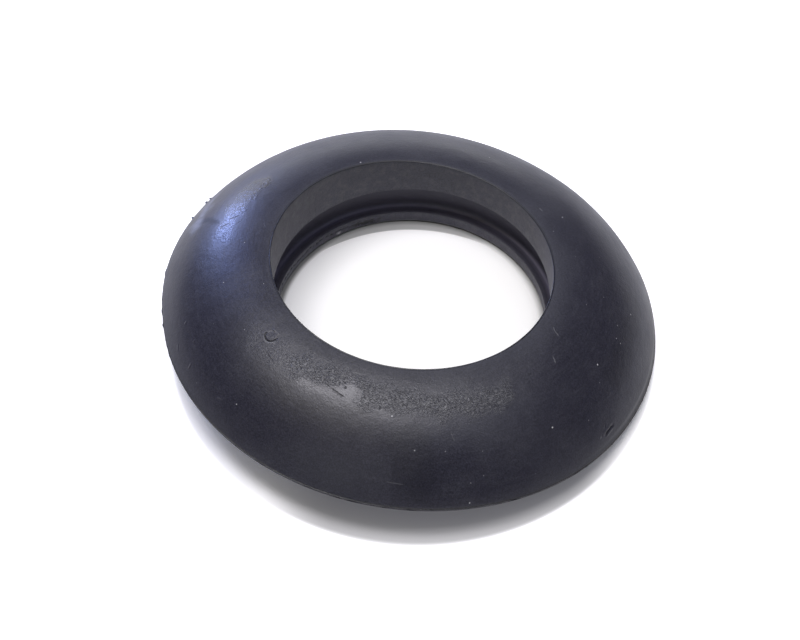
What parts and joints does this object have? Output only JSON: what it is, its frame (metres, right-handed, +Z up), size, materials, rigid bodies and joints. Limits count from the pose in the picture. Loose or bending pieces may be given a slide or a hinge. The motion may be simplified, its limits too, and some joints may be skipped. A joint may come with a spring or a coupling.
{
  "type": "rubber grommet",
  "caption": "Moulded rubber ring grommet with a wide domed flange that leans on a short neck, a plain bore and an internal groove above a thin lip.",
  "frame": {"origin": "on the axis of the bore, in the plane of the neck's flat base", "axes": "+Z up along the bore, from the lip towards the dome; the flange is lowest on the +X side and highest on the -X side; the XZ plane is the part's mirror plane"},
  "size_m": [0.0897, 0.09, 0.0196],
  "materials": {
    "rubber": "satin black moulded rubber, lightly scuffed and dusty on the dome"
  },
  "bodies": {
    "root": {"grommet": "rubber"}
  },
  "joints": []
}
